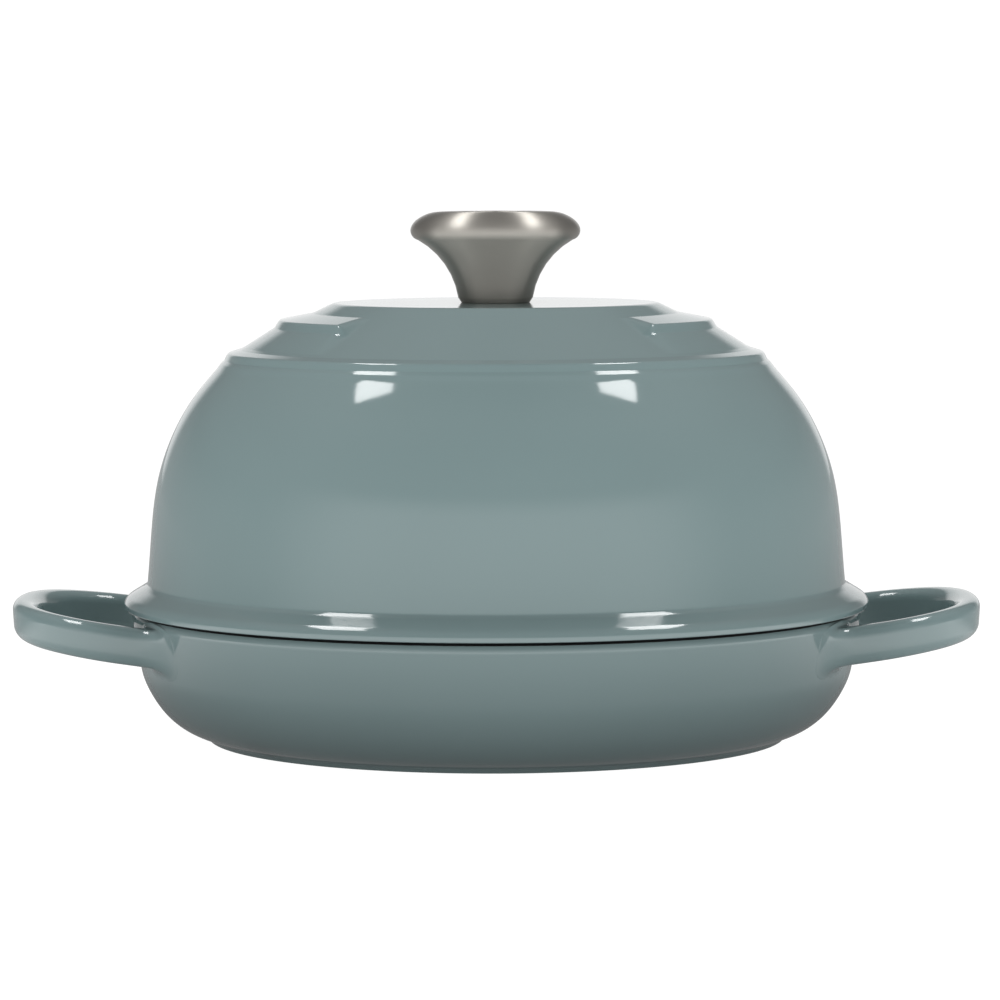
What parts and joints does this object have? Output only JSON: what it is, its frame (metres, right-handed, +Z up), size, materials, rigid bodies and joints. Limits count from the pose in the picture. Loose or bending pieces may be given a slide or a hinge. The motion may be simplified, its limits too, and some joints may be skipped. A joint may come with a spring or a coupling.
{
  "type": "bread cloche",
  "caption": "Shallow round pan with two loop handles and a tall domed lid with a hollow steel knob, for baking a loaf under cover in an oven.",
  "frame": {"origin": "centre of the pan's foot ring, on the surface that the pan stands on", "axes": "+Z up along the axis of the pan, lid and knob; the two loop handles point along +X and -X; the front of the lid, with its smooth bare panel, faces -Y"},
  "size_m": [0.3288, 0.253, 0.1786],
  "materials": {
    "enamelled_iron": "glossy blue-grey vitreous enamel outside, satin black enamel inside",
    "satin_stainless": "satin, turned",
    "plain_stainless": "plain"
  },
  "bodies": {
    "base": {"base_pan": "enamelled_iron"},
    "lid": {"dome_lid": "enamelled_iron", "knob_body": "satin_stainless", "knob_cap": "satin_stainless", "knob_insert": "plain_stainless", "knob_screw": "plain_stainless", "flat_washer": "plain_stainless", "lock_washer": "plain_stainless"}
  },
  "joints": [
    {"name": "lid_lift", "type": "slide", "parent": "base", "child": "lid", "axis": [0, 0, 1], "range_m": [0, 0.2]}
  ]
}
